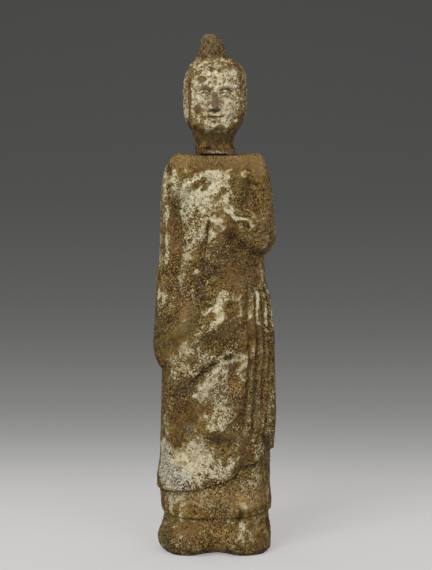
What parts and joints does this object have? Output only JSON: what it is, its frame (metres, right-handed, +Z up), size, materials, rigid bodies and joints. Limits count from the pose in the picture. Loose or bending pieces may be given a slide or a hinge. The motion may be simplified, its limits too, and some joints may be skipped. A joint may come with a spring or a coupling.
{
  "type": "court lady figure",
  "caption": "Standing robed court lady of moulded earthenware with worn white slip, one hand at the chest and one arm hanging, and a separately made head with a topknot.",
  "frame": {"origin": "middle of the underside, on the level that the figure stands on", "axes": "+Z up along the standing figure; the figure faces -Y, so +X is at the viewer's right"},
  "size_m": [0.095, 0.0666, 0.4],
  "materials": {
    "body": "matt unglazed earthenware under worn white slip and burial soil",
    "head": "matt unglazed earthenware, the face still mostly under white slip, the hair brown"
  },
  "bodies": {
    "root": {"body": "body", "head": "head"}
  },
  "joints": []
}
